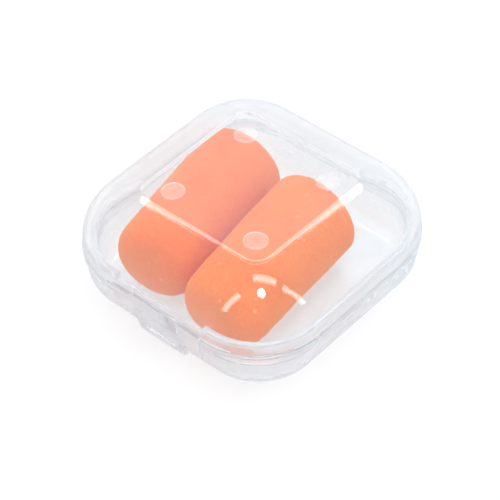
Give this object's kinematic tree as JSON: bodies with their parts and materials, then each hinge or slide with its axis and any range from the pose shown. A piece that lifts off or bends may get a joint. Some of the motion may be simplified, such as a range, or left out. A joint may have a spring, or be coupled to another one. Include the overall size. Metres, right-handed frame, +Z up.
{
  "type": "foam ear plugs",
  "caption": "Tapered foam ear plugs lying in a clear, round-cornered pocket case with a domed hinged lid and a front latch tab.",
  "frame": {"origin": "centre of the flat underside of the base tray, on the plane the case rests on", "axes": "+Z up, -Y towards the latch tab, +Y towards the hinge, X along the hinge line; the case is symmetric about the YZ plane, the plugs are not"},
  "size_m": [0.04, 0.0417, 0.017],
  "materials": {
    "clear_base": "clear, slightly hazy polypropylene",
    "clear_lid": "clear, slightly hazy polypropylene",
    "clear_tab": "clear, slightly hazy polypropylene",
    "plug_foam": "matt slow-recovery polyurethane foam, fine open grain"
  },
  "bodies": {
    "base": {"base_tray": "clear_base"},
    "lid": {"lid": "clear_lid"},
    "latch": {"latch_tab": "clear_tab"},
    "left_plug": {"plug_left": "plug_foam"},
    "right_plug": {"plug_right": "plug_foam"}
  },
  "joints": [
    {"name": "lid_hinge", "type": "hinge", "parent": "base", "child": "lid", "pos_m": [0, 0.0206, 0.0075], "axis": [-1, 0, 0], "range_deg": [0, 175]},
    {"name": "latch_flex", "type": "hinge", "parent": "lid", "child": "latch", "pos_m": [0, -0.0196, 0.00825], "axis": [-1, 0, 0], "range_deg": [0, 12]},
    {"name": "left_plug_slide", "type": "slide", "parent": "base", "child": "left_plug", "axis": [-0.1564, 0.9877, 0], "range_m": [-0.0015, 0.0045]},
    {"name": "right_plug_slide", "type": "slide", "parent": "base", "child": "right_plug", "axis": [-0.1132, 0.9936, 0], "range_m": [-0.001, 0.006]}
  ]
}
